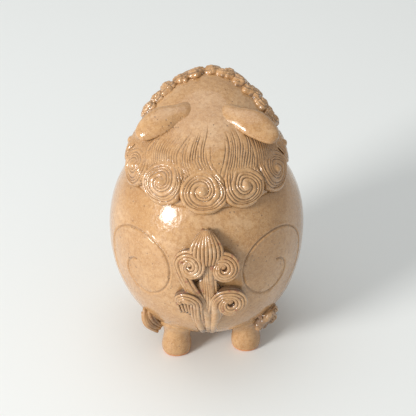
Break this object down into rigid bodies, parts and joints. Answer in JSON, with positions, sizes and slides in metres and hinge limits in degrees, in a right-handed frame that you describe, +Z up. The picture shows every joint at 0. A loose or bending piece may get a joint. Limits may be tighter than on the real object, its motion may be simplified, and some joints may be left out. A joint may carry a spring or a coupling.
{
  "type": "lidded animal censer",
  "caption": "Lidded glazed stoneware censer shaped as a squat lion-dog: a hollow globular pot on stub legs with a lift-off hollow head, coiled mane and scroll tail.",
  "frame": {"origin": "on the floor under the middle of the object", "axes": "+Z up through the pot, -Y the way the animal faces, +X its left side"},
  "size_m": [0.12, 0.1395, 0.1685],
  "materials": {
    "pot_glaze": "glossy speckled buff glaze",
    "head_glaze": "glossy speckled buff glaze",
    "lock_glaze": "glossy glaze pooled in cut grooves",
    "tail_glaze": "glossy glaze pooled grey in deep grooves",
    "leg_glaze": "thin glaze, bare clay at the sole",
    "face_glaze": "glossy speckled buff glaze"
  },
  "bodies": {
    "censer_body": {"bowl": "pot_glaze", "leg_front_left": "leg_glaze", "leg_front_right": "leg_glaze", "leg_rear_left": "leg_glaze", "leg_rear_right": "leg_glaze", "tail_coil_lower_left": "tail_glaze", "tail_coil_lower_right": "tail_glaze", "tail_coil_upper_left": "tail_glaze", "tail_coil_upper_right": "tail_glaze", "tail_plume": "tail_glaze", "tuft_front_left": "tail_glaze", "tuft_front_right": "tail_glaze", "tuft_rear_left": "tail_glaze", "tuft_rear_right": "tail_glaze"},
    "head_cover": {"beard_curl_left": "lock_glaze", "beard_curl_middle": "lock_glaze", "beard_curl_right": "lock_glaze", "brow_left": "face_glaze", "brow_right": "face_glaze", "cheek_curl_left": "lock_glaze", "cheek_curl_right": "lock_glaze", "ear_left": "head_glaze", "ear_right": "head_glaze", "eye_left": "face_glaze", "eye_right": "face_glaze", "fangs": "face_glaze", "head_shell": "head_glaze", "lower_jaw": "face_glaze", "mane_curl_1": "lock_glaze", "mane_curl_2": "lock_glaze", "mane_curl_3": "lock_glaze", "mane_curl_4": "lock_glaze", "mane_curl_5": "lock_glaze", "mane_curl_6": "lock_glaze", "mane_curl_7": "lock_glaze", "mane_curl_8": "lock_glaze", "mane_curl_9": "lock_glaze", "muzzle": "face_glaze", "nose": "face_glaze", "ruff_curl_01": "lock_glaze", "ruff_curl_02": "lock_glaze", "ruff_curl_03": "lock_glaze", "ruff_curl_04": "lock_glaze", "ruff_curl_05": "lock_glaze", "ruff_curl_06": "lock_glaze", "ruff_curl_07": "lock_glaze", "ruff_curl_08": "lock_glaze", "ruff_curl_09": "lock_glaze", "ruff_curl_10": "lock_glaze", "ruff_curl_11": "lock_glaze", "tongue": "face_glaze"}
  },
  "joints": [
    {"name": "head_lift", "type": "slide", "parent": "censer_body", "child": "head_cover", "axis": [0, 0, 1], "range_m": [0, 0.08]}
  ]
}
